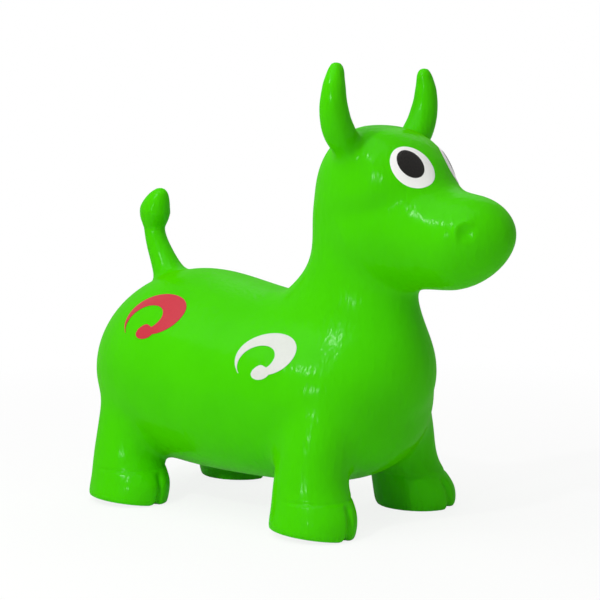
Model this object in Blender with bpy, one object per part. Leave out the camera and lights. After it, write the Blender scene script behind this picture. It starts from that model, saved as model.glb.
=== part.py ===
"""Inflatable animal hopper, a small horned bull to sit on and bounce.

The real toy is one blown-up skin of soft PVC, cast hollow in a turning mould, with a stopper in its belly.
Here the skin is parted where it bends: the neck, both horns and the tail turn on rounded roots, and the
four legs are sections of their own. Metres, +X forward, +Y to the animal's left, Z = 0 on the floor, and
the origin under the middle of the whole length.
"""

import math
from collections import namedtuple

import bmesh
import bpy
from mathutils import Matrix, Vector

# Skin
WALL = 0.0022
SEAM_GAP = 0.0003
FLEX_GAP = 0.0008

# Barrel of the body
BARREL_LENGTH = 0.422
BARREL_END_POWER = 3.1
BARREL_SECTION_POWER = 2.0
BELLY_HEIGHT = 0.034
RUMP_TOP = 0.279
SADDLE_TOP = 0.258
SHOULDER_TOP = 0.247
HIP_WIDTH = 0.275
WAIST_WIDTH = 0.258
SHOULDER_WIDTH = 0.243

# Legs
WHEELBASE = 0.278
TRACK = 0.202
LEGS_AHEAD = -0.002
LEG_LENGTH = 0.083
LEG_WIDTH = 0.085
LEG_SPLAY = 0.22
LEG_TAPER = 0.010
HOOF_FACE = 0.029
HOOF_SHOULDER = 0.014
ANKLE_RISE = 0.010
ANKLE_CREASE = 0.0015
ANKLE_REACH = 0.010
TOE_REACH = 0.020
CLEFT_DEPTH = 0.005
SOLE_INSET = 0.005
SOLE_EDGE = 0.007
SOLE_THICKNESS = 0.004

# Neck
NECK_AHEAD = 0.1365
NECK_RISE = 0.009
NECK_LENGTH = 0.122
NECK_WIDTH = 0.107
NECK_SWELL = 0.0035
NECK_STRAIGHT = 0.036
NECK_LEAN = 14.0
NECK_NOD = 8.0
NECK_NOD_SPARE = 2.0
NECK_SINK = 0.115
NECK_FLARE_DROP = 0.040
NECK_FLARE_SIDE = 0.0140
NECK_FLARE_FRONT = 0.030
NECK_FLARE_BACK = 0.038
NECK_SINK_FRONT = 0.042
COLLAR_WALL = 0.0014

# Skull
SKULL_AHEAD = 0.038
SKULL_RISE = 0.108
SKULL_WIDTH = 0.134
SKULL_FRONT = 0.085
SKULL_BACK = 0.086
CROWN_RISE = 0.081
CROWN_LEAN = 0.011

# Muzzle
MUZZLE_POWER = 2.05
MUZZLE_ROOT_WIDTH = 0.110
MUZZLE_ROOT_DEPTH = 0.134
MUZZLE_ROOT_DROP = 0.034
NOSE_REACH = 0.336
NOSE_DROP = 0.0415
NOSE_WIDTH = 0.111
NOSE_DEPTH = 0.108
NOSE_ROUNDING = 0.070
BRIDGE_REACH = 0.228
BRIDGE_DROP = 0.0397
BRIDGE_WIDTH = 0.110
BRIDGE_DEPTH = 0.122
NOSTRIL_RADIUS = 0.012
NOSTRIL_SINK = 0.0014
NOSTRIL_TURN = 64.0
NOSTRIL_LIFT = 0.0105

# Horns
HORN_AHEAD = -0.0125
HORN_RISE = 0.046
HORN_ROOT_RADIUS = 0.0178
HORN_SWELL = 0.0024
HORN_BOW = 0.031
HORN_BOW_RISE = 0.044
HORN_BOW_RADIUS = 0.0165
HORN_TIP_IN = 0.002
HORN_TIP_RISE = 0.096
HORN_TIP_RADIUS = 0.0080
HORN_BOW_LEAN = -0.001
HORN_TIP_LEAN = -0.005

# Tail
TAIL_BEHIND = 0.149
TAIL_ROOT_RADIUS = 0.0180
TAIL_SWELL = 0.0024
TAIL_STEM_LEAN = 0.0235
TAIL_STEM_RISE = 0.040
TAIL_STEM_RADIUS = 0.0135
TAIL_TUFT_LEAN = 0.0265
TAIL_TUFT_RISE = 0.075
TAIL_TUFT_RADIUS = 0.0195
TAIL_TIP_LEAN = 0.014
TAIL_TIP_RISE = 0.103
TAIL_TIP_RADIUS = 0.0090

# Air stopper
VALVE_BEHIND = 0.020
BOSS_RADIUS = 0.0150
BOSS_HEIGHT = 0.014
BOSS_PROUD = 0.0008
STOPPER_RADIUS = 0.0105
STOPPER_FLANGE = 0.0022
STOPPER_STEM_RADIUS = 0.0055
STOPPER_STEM = 0.011
STOPPER_TIP_RADIUS = 0.0044
SLOT_WIDTH = 0.0018
SLOT_LENGTH = 0.0148
SLOT_DEPTH = 0.0012

# Paint
PAINT = 0.0005
EYE_TURN = 58.0
EYE_RISE = 0.033
EYE_WIDTH = 0.050
EYE_HEIGHT = 0.048
PUPIL_WIDTH = 0.028
PUPIL_HEIGHT = 0.032
SCROLL_SIZE = 0.084
SCROLL_BAND = 0.019
SCROLL_SQUASH = 0.56
SCROLL_TILT = 20.0
SCROLL_START = 200.0
SCROLL_SWEEP = 400.0
SCROLL_WIND = 0.72
SCROLL_TAPER = 0.45
SCROLL_TIP = 0.03
HIP_SCROLL_BEHIND = 0.081
HIP_SCROLL_HEIGHT = 0.223
FLANK_SCROLL_AHEAD = 0.081
FLANK_SCROLL_HEIGHT = 0.188

# Worked out from the sizes above
MIDDLE = (BARREL_LENGTH / 2 - NOSE_REACH) / 2
NECK_ROOT = Vector((MIDDLE + NECK_AHEAD, 0.0, SHOULDER_TOP + NECK_RISE))
NECK_AXIS = Vector((math.sin(math.radians(NECK_LEAN)), 0.0, math.cos(math.radians(NECK_LEAN))))
SKULL = NECK_ROOT + Vector((SKULL_AHEAD, 0.0, SKULL_RISE))

# Facets, and how far a cutter runs past what it cuts
BARREL_RINGS = 20
BARREL_SIDES = 28
LIMB_SIDES = 24
THIN_SIDES = 14
AIR_RINGS = 16
AIR_SIDES = 20
BALL_RINGS = 14
BALL_SIDES = 30
SMALL_BALL_RINGS = 12
SMALL_BALL_SIDES = 20
SCROLL_STEPS = 22
OVERRUN = 0.010
STENCIL_START = 0.020
STENCIL_REACH = 0.200

AHEAD = Vector((1, 0, 0))
ACROSS = Vector((0, 1, 0))
UP = Vector((0, 0, 1))

Station = namedtuple("Station", "point wide front back")


def clear_scene():
    """Removes whatever the file opened with."""
    for thing in list(bpy.data.objects):
        bpy.data.objects.remove(thing)


def material(name, colour, roughness):
    """One plain finish."""
    made = bpy.data.materials.new(name)
    made.use_nodes = True
    shader = made.node_tree.nodes["Principled BSDF"]
    shader.inputs["Base Color"].default_value = (*colour, 1.0)
    shader.inputs["Roughness"].default_value = roughness
    shader.inputs["Metallic"].default_value = 0.0
    return made


def through(values, t):
    """A smooth curve through the values, where t counts them from 0."""
    last = len(values) - 1
    i = min(int(t), last - 1)
    f = t - i
    before, start, end, after = (values[min(max(k, 0), last)] for k in range(i - 1, i + 3))
    rise, fall = (end - before) / 2, (after - start) / 2
    return (
        start * (2 * f**3 - 3 * f**2 + 1)
        + rise * (f**3 - 2 * f**2 + f)
        + end * (3 * f**2 - 2 * f**3)
        + fall * (f**3 - f**2)
    )


def oval(centre, across, ahead, wide, front, back, sides=LIMB_SIDES, power=2.0):
    """A ring of points round a centre. It is squarer as the power grows."""
    ring = []
    for k in range(sides):
        turn = 2 * math.pi * k / sides
        c, s = math.cos(turn), math.sin(turn)
        u = wide * math.copysign(abs(c) ** (2 / power), c)
        v = (front if s > 0 else back) * math.copysign(abs(s) ** (2 / power), s)
        ring.append(centre + across * u + ahead * v)
    return ring


def turned_rings(foot, steps):
    """A turned shape, from pairs of height over its foot and radius."""
    return [oval(foot + UP * height, ACROSS, AHEAD, radius, radius, radius) for height, radius in steps]


def skin_over(name, rings, finish=None):
    """A closed mesh over a row of rings. A ring of one point is a pole, and an open end is closed flat."""
    shape = bmesh.new()
    rows = [[shape.verts.new(point) for point in ring] for ring in rings]
    for lower, upper in zip(rows, rows[1:]):
        for k in range(max(len(lower), len(upper))):
            n = k + 1
            corners = (
                lower[k % len(lower)], lower[n % len(lower)], upper[n % len(upper)], upper[k % len(upper)]
            )
            shape.faces.new(list(dict.fromkeys(corners)))
    for end in (rows[0], rows[-1]):
        if len(end) > 1:
            shape.faces.new(end)
    bmesh.ops.recalc_face_normals(shape, faces=shape.faces[:])
    mesh = bpy.data.meshes.new(name)
    shape.to_mesh(mesh)
    shape.free()
    mesh.shade_smooth()
    made = bpy.data.objects.new(name, mesh)
    bpy.context.scene.collection.objects.link(made)
    if finish:
        mesh.materials.append(finish)
    else:
        made.hide_render = True
        made.display_type = "WIRE"
    return made


def cut(piece, tool, operation="DIFFERENCE"):
    """Takes the tool away from the piece, or adds it, or keeps what they share."""
    step = piece.modifiers.new(tool.name, "BOOLEAN")
    step.object = tool
    step.operation = operation
    step.solver = "EXACT"


def attach(piece, pivot, parent=None):
    """Puts a piece's origin on its pivot and hangs it on the piece that carries it."""
    piece.data.transform(Matrix.Translation(-pivot))
    piece.location = pivot
    if parent:
        piece.parent = parent
        piece.matrix_parent_inverse = Matrix.Translation(parent.location).inverted()


def barrel_section(reach):
    """Shrink, half width and top of the body, from -1 at the rump to 1 at the chest."""
    shrink = (1 - abs(reach) ** BARREL_END_POWER) ** (1 / BARREL_END_POWER)
    widths = (HIP_WIDTH, HIP_WIDTH, WAIST_WIDTH, SHOULDER_WIDTH, SHOULDER_WIDTH)
    tops = (RUMP_TOP, RUMP_TOP, SADDLE_TOP, SHOULDER_TOP, SHOULDER_TOP)
    place = (reach + 1) / 2 * (len(tops) - 1)
    return shrink, through(widths, place) / 2, through(tops, place)


def barrel_rings(grow, rings=BARREL_RINGS, sides=BARREL_SIDES):
    """The body from rump to chest: ovals on an axis, rounded off at both ends."""
    made = []
    for i in range(rings + 1):
        reach = -math.cos(math.pi * i / rings)
        shrink, wide, top = barrel_section(reach)
        wide = (wide + grow) * shrink
        deep = ((top - BELLY_HEIGHT) / 2 + grow) * shrink
        centre = Vector((MIDDLE + reach * (BARREL_LENGTH / 2 + grow), 0, (top + BELLY_HEIGHT) / 2))
        if i in (0, rings):
            made.append([centre])
        else:
            made.append(oval(centre, ACROSS, UP, wide, deep, deep, sides, BARREL_SECTION_POWER))
    return made


def barrel_back(x):
    """Height of the back's middle line."""
    shrink, _, top = barrel_section((x - MIDDLE) / (BARREL_LENGTH / 2))
    return (top + BELLY_HEIGHT) / 2 + (top - BELLY_HEIGHT) / 2 * shrink


def limb_rings(stations, across, grow, rings, sides, cap=0.0, power=2.0):
    """Ovals along a smooth line through the stations, with the far end rounded off over the cap's length."""
    points = [station.point for station in stations]
    last = len(stations) - 1
    step = 1e-3
    if cap:
        points[-1] = points[-1] + (points[-1] - through(points, last - step)).normalized() * grow
    run = (points[-1] - points[-2]).length
    turn_at = last - min((cap + grow) / run, 1.0) if cap else last
    ts = [turn_at * i / rings for i in range(rings + 1)]
    bends = max(3, rings // 2) if cap else 0
    ts += [turn_at + (last - turn_at) * math.sin(math.pi / 2 * i / bends) for i in range(1, bends + 1)]
    made = []
    for t in ts:
        centre = through(points, t)
        heading = through(points, min(t + step, last)) - through(points, max(t - step, 0.0))
        heading.normalize()
        side = (across - heading * across.dot(heading)).normalized()
        shrink = 1.0
        if t > turn_at:
            shrink = math.sqrt(max(0.0, 1 - ((t - turn_at) / (last - turn_at)) ** 2))
        wide, front, back = (
            (through([station[k] for station in stations], t) + grow) * shrink for k in (1, 2, 3)
        )
        if cap and t == ts[-1]:
            made.append([centre])
        else:
            made.append(oval(centre, side, side.cross(heading), wide, front, back, sides, power))
    return made


def round_station(x, y, z, radius):
    """A place along a limb that is round there."""
    return Station(Vector((x, y, z)), radius, radius, radius)


def skull_rings(grow, below=0.0, sides=LIMB_SIDES):
    """Neck and skull, one limb that leans forward as it rises and swells into the head."""
    wide, deep = NECK_WIDTH / 2, NECK_LENGTH / 2
    stations = [
        Station(NECK_ROOT - NECK_AXIS * below, wide, deep, deep),
        Station(NECK_ROOT + NECK_AXIS * NECK_STRAIGHT, wide, deep, deep),
        Station(SKULL, SKULL_WIDTH / 2, SKULL_FRONT, SKULL_BACK),
        Station(SKULL + UP * CROWN_RISE - AHEAD * CROWN_LEAN, SKULL_WIDTH / 2, SKULL_FRONT, SKULL_BACK),
    ]
    return limb_rings(stations, ACROSS, grow, rings=10, sides=sides, cap=CROWN_RISE)


def muzzle_rings(grow, sides=LIMB_SIDES):
    """The muzzle, from inside the skull to the nose."""
    rows = (
        (SKULL.x, SKULL.z - MUZZLE_ROOT_DROP, MUZZLE_ROOT_WIDTH / 2, MUZZLE_ROOT_DEPTH / 2),
        (MIDDLE + BRIDGE_REACH, SKULL.z - BRIDGE_DROP, BRIDGE_WIDTH / 2, BRIDGE_DEPTH / 2),
        (MIDDLE + NOSE_REACH, SKULL.z - NOSE_DROP, NOSE_WIDTH / 2, NOSE_DEPTH / 2),
    )
    stations = [Station(Vector((x, 0, z)), wide, deep, deep) for x, z, wide, deep in rows]
    return limb_rings(stations, ACROSS, grow, rings=8, sides=sides, cap=NOSE_ROUNDING, power=MUZZLE_POWER)


def nostril_rings(side):
    """The ball that dents the skin at a nostril."""
    turn = math.radians(NOSTRIL_TURN)
    start = Vector((MIDDLE + NOSE_REACH - NOSE_ROUNDING, 0, SKULL.z - NOSE_DROP + NOSTRIL_LIFT))
    spot = start + Vector((NOSE_ROUNDING * math.cos(turn), side * NOSE_WIDTH / 2 * math.sin(turn), 0))
    out = Vector((math.cos(turn) / NOSE_ROUNDING, side * math.sin(turn) / (NOSE_WIDTH / 2), 0)).normalized()
    return ball_rings(spot + out * (NOSTRIL_RADIUS - NOSTRIL_SINK), NOSTRIL_RADIUS, NOSTRIL_RADIUS)


def mound_rings(grow, over=0.0):
    """The flare of the body up to the neck, ending in a collar just over the neck's bend."""
    wide, deep = neck_ball_size()
    lean = math.asin(NECK_LENGTH / 2 / deep) + math.radians(NECK_NOD + NECK_NOD_SPARE)
    top = NECK_ROOT + NECK_AXIS * deep * math.cos(lean)
    skirt = FLEX_GAP + COLLAR_WALL
    rows = (
        (NECK_SINK, NECK_FLARE_SIDE * 2, NECK_SINK_FRONT, NECK_FLARE_BACK * 2),
        (NECK_FLARE_DROP, NECK_FLARE_SIDE, NECK_FLARE_FRONT, NECK_FLARE_BACK),
        (0.0, 0.0, 0.0, 0.0),
    )
    stations = [
        Station(top - NECK_AXIS * drop, wide + skirt + side, deep + skirt + front, deep + skirt + back)
        for drop, side, front, back in rows
    ]
    made = limb_rings(stations, ACROSS, grow, rings=5, sides=LIMB_SIDES)
    return made + ([[point + NECK_AXIS * over for point in made[-1]]] if over else [])


def neck_ball_size():
    """Half width and radius of the neck's rounded root. It is round about the axis that it nods on."""
    return NECK_WIDTH / 2 + NECK_SWELL, NECK_LENGTH / 2 + NECK_SWELL


def ball_rings(centre, wide, radius, rings=BALL_RINGS, sides=BALL_SIDES):
    """A ball, or one drawn out along Y."""
    made = []
    for i in range(rings + 1):
        turn = math.pi * i / rings
        place = centre - ACROSS * wide * math.cos(turn)
        around = radius * math.sin(turn)
        if i in (0, rings):
            made.append([place])
        else:
            made.append(oval(place, UP, AHEAD, around, around, around, sides))
    return made


def small_ball_rings(centre, radius):
    """A ball with fewer facets, for a horn's or a tail's root."""
    return ball_rings(centre, radius, radius, SMALL_BALL_RINGS, SMALL_BALL_SIDES)


def horn_root(side):
    """The horn's bend, on the skull's surface."""
    half = SKULL_WIDTH / 2 * math.sqrt(1 - (HORN_RISE / CROWN_RISE) ** 2)
    return Vector((SKULL.x + HORN_AHEAD, side * half, SKULL.z + HORN_RISE))


def horn_rings(side, grow, sink=0.0):
    """A horn that leans out from the skull and curls up. The sink draws its start down into the head."""
    root = horn_root(side)
    rows = (
        (0.0, 0.0, 0.0, HORN_ROOT_RADIUS),
        (HORN_BOW_LEAN, HORN_BOW, HORN_BOW_RISE, HORN_BOW_RADIUS),
        (HORN_TIP_LEAN, HORN_BOW - HORN_TIP_IN, HORN_TIP_RISE, HORN_TIP_RADIUS),
    )
    stations = [
        round_station(root.x - lean, root.y + side * out, root.z + rise, radius)
        for lean, out, rise, radius in rows
    ]
    made = limb_rings(stations, AHEAD, grow, rings=7, sides=THIN_SIDES, cap=HORN_TIP_RADIUS)
    down = Vector((0, -side * HORN_BOW, -HORN_BOW_RISE)).normalized() * sink
    return ([[point + down for point in made[0]]] if sink else []) + made


def tail_root():
    """The tail's bend, on the rump's middle line."""
    x = MIDDLE - TAIL_BEHIND
    return Vector((x, 0, barrel_back(x)))


def tail_rings(grow, sink=0.0):
    """The tail, a thin stem with a swollen tuft. The sink draws its start down into the body."""
    root = tail_root()
    rows = (
        (0.0, 0.0, TAIL_ROOT_RADIUS),
        (TAIL_STEM_LEAN, TAIL_STEM_RISE, TAIL_STEM_RADIUS),
        (TAIL_TUFT_LEAN, TAIL_TUFT_RISE, TAIL_TUFT_RADIUS),
        (TAIL_TIP_LEAN, TAIL_TIP_RISE, TAIL_TIP_RADIUS),
    )
    stations = [round_station(root.x - lean, 0.0, root.z + rise, radius) for lean, rise, radius in rows]
    made = limb_rings(stations, ACROSS, grow, rings=9, sides=THIN_SIDES, cap=TAIL_TIP_RADIUS)
    down = Vector((TAIL_STEM_LEAN, 0, -TAIL_STEM_RISE)).normalized() * sink
    return ([[point + down for point in made[0]]] if sink else []) + made


def leg_centre(end, side, height=0.0):
    """A place on a leg's middle line, which leans in as it rises."""
    x = MIDDLE + LEGS_AHEAD + end * WHEELBASE / 2
    return Vector((x, side * (TRACK / 2 - LEG_SPLAY * height), height))


def leg_rings(end, side, grow=0.0, bottom=0.0):
    """A short round leg, splayed out, with a hoof that is cleft in front."""
    crease = HOOF_FACE + HOOF_SHOULDER
    rows = (
        (bottom, -SOLE_INSET, TOE_REACH, CLEFT_DEPTH),
        (bottom + SOLE_EDGE, 0.0, TOE_REACH, CLEFT_DEPTH),
        (HOOF_FACE, 0.0, TOE_REACH, CLEFT_DEPTH),
        (crease, -ANKLE_CREASE, ANKLE_REACH, 0.0),
        (crease + ANKLE_RISE, 0.0, 0.0, 0.0),
        ((RUMP_TOP + BELLY_HEIGHT) / 2, -LEG_TAPER, 0.0, 0.0),
    )
    made = []
    for height, inset, reach, cleft in rows:
        wide, deep = LEG_WIDTH / 2 + inset + grow, LEG_LENGTH / 2 + inset + grow
        ring = oval(leg_centre(end, side, height), ACROSS, AHEAD, wide, deep + reach, deep)
        ring[LIMB_SIDES // 4].x -= cleft
        made.append(ring)
    return made


def prism_rings(centre, axis, outline, length):
    """An outline pushed along an axis. The outline's own up stays as near to +Z as the axis lets it."""
    side = UP.cross(axis).normalized()
    up = axis.cross(side)
    ring = [centre + side * u + up * v for u, v in outline]
    return [ring, [point + axis * length for point in ring]]


def ellipse_outline(wide, high, sides=LIMB_SIDES):
    """An upright oval, as pairs of side and height."""
    turns = [2 * math.pi * k / sides for k in range(sides)]
    return [(wide / 2 * math.cos(turn), high / 2 * math.sin(turn)) for turn in turns]


def scroll_outline(size, mirror):
    """A plain scroll: a band that winds in, thick in its middle and pointed at both ends."""
    outer, inner = [], []
    level, rise = math.cos(math.radians(SCROLL_TILT)), math.sin(math.radians(SCROLL_TILT))
    for i in range(SCROLL_STEPS + 1):
        f = i / SCROLL_STEPS
        turn = math.radians(SCROLL_START - SCROLL_SWEEP * f)
        radius = size / 2 * (1 - SCROLL_WIND * f)
        along = min(max(f, SCROLL_TIP), 1 - SCROLL_TIP)
        band = SCROLL_BAND * math.sin(math.pi * along) ** SCROLL_TAPER
        for row, r in ((outer, radius + band / 2), (inner, radius - band / 2)):
            u, v = r * math.cos(turn), SCROLL_SQUASH * r * math.sin(turn)
            row.append((mirror * (u * level - v * rise), u * rise + v * level))
    return outer + inner[::-1]


def film(name, forms, base, thickness, stencil, finish):
    """A coat of paint: the skin's own form, grown a little, kept inside a stencil."""
    made = skin_over(name, forms[0](base + thickness), finish)
    for form in forms[1:]:
        cut(made, skin_over(f"{name}_over", form(base + thickness)), "UNION")
    cut(made, skin_over(f"{name}_stencil", stencil), "INTERSECT")
    for form in forms:
        cut(made, skin_over(f"{name}_under", form(base)))
    return made


def main():
    """Makes every piece and hangs it on the one that carries it."""
    clear_scene()
    green = material("green_pvc", (0.05, 0.60, 0.0), 0.25)
    white = material("white_paint", (0.85, 0.85, 0.85), 0.35)
    black = material("black_paint", (0.012, 0.01, 0.009), 0.30)
    red = material("red_paint", (0.62, 0.05, 0.08), 0.35)
    stopper = material("white_stopper", (0.80, 0.80, 0.78), 0.40)

    sides = ((-1, "right"), (1, "left"))
    ends = ((-1, "hind"), (1, "front"))
    neck_wide, neck_deep = neck_ball_size()
    horn_ball, tail_ball = HORN_ROOT_RADIUS + HORN_SWELL, TAIL_ROOT_RADIUS + TAIL_SWELL

    # Body, hollow and open to every limb
    torso = skin_over("torso_skin", barrel_rings(0.0), green)
    cut(torso, skin_over("mound", mound_rings(0.0)), "UNION")
    cut(torso, skin_over("barrel_air", barrel_rings(-WALL, AIR_RINGS, AIR_SIDES)))
    cut(torso, skin_over("mound_air", mound_rings(-WALL, neck_deep)))
    neck_seat = ball_rings(NECK_ROOT, neck_wide + FLEX_GAP, neck_deep + FLEX_GAP)
    cut(torso, skin_over("neck_seat", neck_seat))
    cut(torso, skin_over("tail_seat", small_ball_rings(tail_root(), tail_ball + FLEX_GAP)))

    # Legs, each a cup on the underside of the body
    for end, place in ends:
        for side, word in sides:
            leg = skin_over(f"leg_{place}_{word}", leg_rings(end, side), green)
            air = skin_over(f"leg_{place}_{word}_air", leg_rings(end, side, -WALL, SOLE_THICKNESS))
            cut(leg, skin_over(f"leg_{place}_{word}_trim", barrel_rings(SEAM_GAP)))
            cut(leg, air)
            cut(torso, air)
            attach(leg, leg_centre(end, side), torso)

    # Valve in the belly, and the stopper that closes it
    valve = Vector((MIDDLE - VALVE_BEHIND, 0, BELLY_HEIGHT - BOSS_PROUD))
    boss = turned_rings(valve, ((0.0, BOSS_RADIUS), (BOSS_HEIGHT, BOSS_RADIUS)))
    cut(torso, skin_over("boss", boss), "UNION")
    recess, bore = STOPPER_RADIUS + FLEX_GAP, STOPPER_STEM_RADIUS + FLEX_GAP
    ledge = STOPPER_FLANGE + SEAM_GAP
    hole_steps = ((-OVERRUN, recess), (ledge, recess), (ledge, bore), (BOSS_HEIGHT + OVERRUN, bore))
    cut(torso, skin_over("valve_hole", turned_rings(valve, hole_steps)))
    plug_steps = (
        (0.0, STOPPER_RADIUS),
        (STOPPER_FLANGE, STOPPER_RADIUS),
        (STOPPER_FLANGE, STOPPER_STEM_RADIUS),
        (STOPPER_FLANGE + STOPPER_STEM, STOPPER_TIP_RADIUS),
    )
    plug = skin_over("air_plug", turned_rings(valve, plug_steps), stopper)
    u, v = ACROSS * SLOT_LENGTH / 2, AHEAD * SLOT_WIDTH / 2
    slot_corners = (-u - v, u - v, u + v, v - u)
    slot = [[valve + corner + UP * height for corner in slot_corners] for height in (-OVERRUN, SLOT_DEPTH)]
    cut(plug, skin_over("slot", slot))
    attach(plug, valve, torso)

    # Head, hollow, with its rounded root in the collar of the body
    head = skin_over("head_skin", skull_rings(0.0), green)
    cut(head, skin_over("muzzle", muzzle_rings(0.0)), "UNION")
    cut(head, skin_over("neck_ball", ball_rings(NECK_ROOT, neck_wide, neck_deep)), "UNION")
    cut(head, skin_over("skull_air", skull_rings(-WALL, neck_deep + WALL, AIR_SIDES)))
    cut(head, skin_over("muzzle_air", muzzle_rings(-WALL, AIR_SIDES)))
    cut(head, skin_over("neck_air", ball_rings(NECK_ROOT, neck_wide - WALL, neck_deep - WALL)))
    for side, word in sides:
        cut(head, skin_over(f"horn_{word}_seat", small_ball_rings(horn_root(side), horn_ball + FLEX_GAP)))
        cut(head, skin_over(f"nostril_{word}", nostril_rings(side)))
    attach(head, NECK_ROOT, torso)

    # Horns and tail, hollow, each on a rounded root
    for side, word in sides:
        horn = skin_over(f"horn_{word}", horn_rings(side, 0.0), green)
        root = horn_root(side)
        cut(horn, skin_over(f"horn_{word}_ball", small_ball_rings(root, horn_ball)), "UNION")
        cut(horn, skin_over(f"horn_{word}_air", horn_rings(side, -WALL, horn_ball + OVERRUN)))
        attach(horn, root, head)
    tail = skin_over("tail", tail_rings(0.0), green)
    cut(tail, skin_over("tail_ball", small_ball_rings(tail_root(), tail_ball)), "UNION")
    cut(tail, skin_over("tail_air", tail_rings(-WALL, tail_ball + OVERRUN)))
    attach(tail, tail_root(), torso)

    # Paint
    eye_coat = SEAM_GAP * 2 + PAINT
    for side, word in sides:
        turn = math.radians(EYE_TURN)
        look = Vector((math.sin(turn), side * math.cos(turn), 0.0))
        start = SKULL + UP * EYE_RISE + look * STENCIL_START
        for name, wide, high, base, finish in (
            (f"eye_white_{word}", EYE_WIDTH, EYE_HEIGHT, SEAM_GAP, white),
            (f"eye_pupil_{word}", PUPIL_WIDTH, PUPIL_HEIGHT, eye_coat, black),
        ):
            stencil = prism_rings(start, look, ellipse_outline(wide, high), STENCIL_REACH)
            coat = film(name, (skull_rings, muzzle_rings), base, PAINT, stencil, finish)
            attach(coat, start, head)
        flank = ACROSS * side
        for name, x, z, finish in (
            (f"hip_scroll_{word}", MIDDLE - HIP_SCROLL_BEHIND, HIP_SCROLL_HEIGHT, red),
            (f"flank_scroll_{word}", MIDDLE + FLANK_SCROLL_AHEAD, FLANK_SCROLL_HEIGHT, white),
        ):
            start = Vector((x, 0, z)) + flank * STENCIL_START
            stencil = prism_rings(start, flank, scroll_outline(SCROLL_SIZE, side), STENCIL_REACH)
            coat = film(name, (barrel_rings,), SEAM_GAP, PAINT, stencil, finish)
            attach(coat, start, torso)


main()
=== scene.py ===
import math

import bpy
import numpy as np
from mathutils import Matrix, Vector


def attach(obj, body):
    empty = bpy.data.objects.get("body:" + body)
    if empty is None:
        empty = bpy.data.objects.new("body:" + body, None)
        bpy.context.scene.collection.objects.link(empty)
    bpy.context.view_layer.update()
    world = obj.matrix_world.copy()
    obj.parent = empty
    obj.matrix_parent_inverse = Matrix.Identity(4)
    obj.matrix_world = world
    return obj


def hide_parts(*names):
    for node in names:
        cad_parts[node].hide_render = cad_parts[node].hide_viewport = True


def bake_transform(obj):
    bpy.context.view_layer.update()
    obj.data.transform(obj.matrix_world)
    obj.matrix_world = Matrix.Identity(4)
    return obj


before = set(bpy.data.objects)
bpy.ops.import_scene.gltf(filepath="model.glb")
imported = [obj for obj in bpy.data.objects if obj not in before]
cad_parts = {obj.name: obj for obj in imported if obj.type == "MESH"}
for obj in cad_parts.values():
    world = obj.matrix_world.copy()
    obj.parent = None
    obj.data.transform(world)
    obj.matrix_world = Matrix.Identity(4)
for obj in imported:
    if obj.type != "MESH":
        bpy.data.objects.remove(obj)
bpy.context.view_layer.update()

# The barrel of the bull's skin.
# The whole animal but its stopper is one hollow casting of soft PVC, blown up tight. Its forms are blocked
# in one by one and then fused. This first one is the body, with the dip of its seat.
RING_SIDES = 28
ROUNDING_LEVELS = 2
BARREL_MIDDLE = -0.0625
BARREL_LENGTH = 0.422
BARREL_END_POWER = 3.1
BARREL_END_SHARE = 0.999
BARREL_RINGS = 18
BELLY_HEIGHT = 0.0328
BACK_HEIGHTS = (0.273, 0.2805, 0.2595, 0.247, 0.246)
BARREL_WIDTHS = (0.276, 0.276, 0.258, 0.243, 0.248)


def only(*pieces):
    """Selects these pieces and nothing else."""
    bpy.ops.object.select_all(action="DESELECT")
    for piece in pieces:
        piece.select_set(True)
    bpy.context.view_layer.objects.active = pieces[0]


def added(add, name, **settings):
    """Adds a primitive under this name, with nothing else selected."""
    bpy.ops.object.select_all(action="DESELECT")
    add(**settings)
    piece = bpy.context.object
    piece.name = name
    return piece


def settled():
    """Puts the place, turn and size of the selected piece into its mesh."""
    bpy.ops.object.transform_apply(location=True, rotation=True, scale=True)


def faced_outward():
    """Turns all faces of the piece in edit mode outward and goes back to object mode."""
    bpy.ops.mesh.select_all(action="SELECT")
    bpy.ops.mesh.normals_make_consistent(inside=False)
    bpy.ops.object.mode_set(mode="OBJECT")


def finished(piece, kind, **settings):
    """Gives the piece a modifier with these settings and applies it."""
    only(piece)
    step = piece.modifiers.new(kind, kind)
    for key, value in settings.items():
        setattr(step, key, value)
    bpy.ops.object.modifier_apply(modifier=step.name)


def through(values, t):
    """A smooth curve through the values, where t runs from 0 to 1."""
    last = len(values) - 1
    i = min(int(t * last), last - 1)
    f = t * last - i
    before, start, end, after = (values[min(max(k, 0), last)] for k in range(i - 1, i + 3))
    leaving = (end - before) / 2
    arriving = (after - start) / 2
    return (
        start * (2 * f**3 - 3 * f**2 + 1)
        + leaving * (f**3 - 2 * f**2 + f)
        + end * (3 * f**2 - 2 * f**3)
        + arriving * (f**3 - f**2)
    )


def drawn_out(name, rings, upright):
    """A disc that is extruded and scaled ring by ring, upright or lying along X, then rounded over.
    Each ring is its centre and its two half sizes: along X and Y if upright, along Y and Z if lying."""
    form = added(
        bpy.ops.mesh.primitive_circle_add, name, vertices=RING_SIDES, radius=1, fill_type="NGON",
        location=rings[0][0], rotation=(0, 0, 0) if upright else (0, math.pi / 2, 0),
    )
    settled()
    bpy.ops.object.mode_set(mode="EDIT")
    bpy.ops.mesh.select_all(action="SELECT")
    centre, sizes = Vector(rings[0][0]), (1, 1)
    for k, (place, first, second) in enumerate(rings):
        place = Vector(place)
        if k:
            bpy.ops.mesh.extrude_region_move(TRANSFORM_OT_translate={"value": place - centre})
        ratio = (first / sizes[0], second / sizes[1])
        bpy.ops.transform.resize(value=(*ratio, 1) if upright else (1, *ratio), center_override=place)
        centre, sizes = place, (first, second)
    faced_outward()
    finished(form, "SUBSURF", levels=ROUNDING_LEVELS, render_levels=ROUNDING_LEVELS)
    return form


def domed(f, power):
    """How far a rounded end has closed in, from 1 at its start to 0 at its tip."""
    return (1 - f**power) ** (1 / power)


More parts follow.
